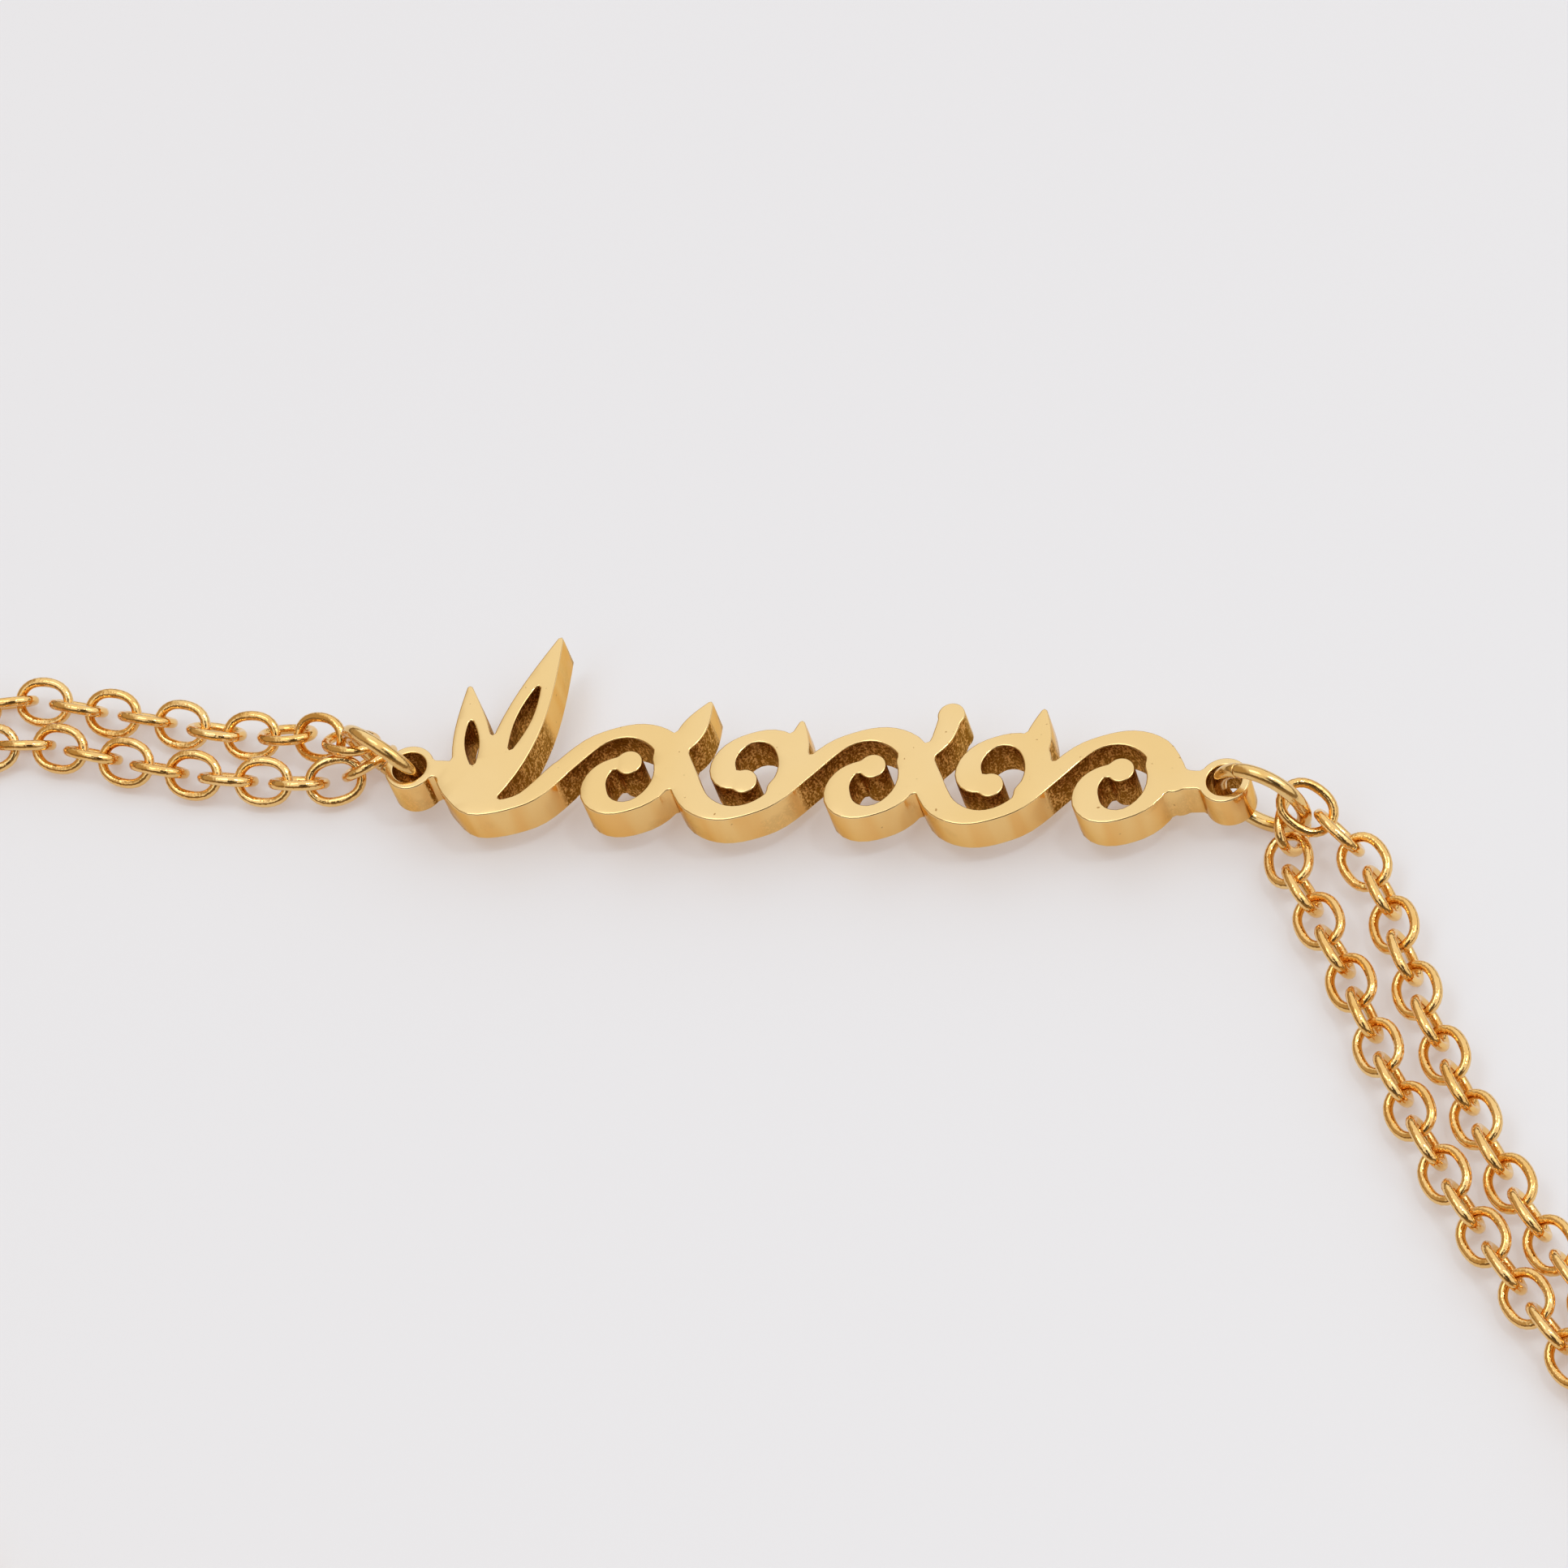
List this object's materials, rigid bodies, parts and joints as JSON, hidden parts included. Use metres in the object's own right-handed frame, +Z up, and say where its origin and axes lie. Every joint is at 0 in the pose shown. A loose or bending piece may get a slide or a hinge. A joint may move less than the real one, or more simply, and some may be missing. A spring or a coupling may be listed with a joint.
{
  "type": "double-chain bracelet with a cut plate",
  "caption": "Fine double cable-chain bracelet with a thick pierced scrollwork plate between two jump rings, closed by a plain clasp.",
  "frame": {"origin": "on the surface under the middle of the loop as it lies", "axes": "+Z up from the surface, +X along the plate towards its right end, +Y from the clasp side towards the plate"},
  "size_m": [0.0728, 0.0435, 0.0036],
  "materials": {
    "plate_gold": "polished face, wire-cut edge",
    "ring_gold": "polished",
    "chain_gold": "polished, slightly rough from plating",
    "clasp_gold": "polished"
  },
  "bodies": {
    "root": {"script_plate": "plate_gold", "jump_ring_left": "ring_gold", "jump_ring_right": "ring_gold", "strand_left_back": "chain_gold", "strand_left_front": "chain_gold", "strand_right_outer": "chain_gold", "strand_right_inner": "chain_gold", "end_ring_left": "ring_gold", "end_ring_right": "ring_gold", "clasp": "clasp_gold"}
  },
  "joints": []
}
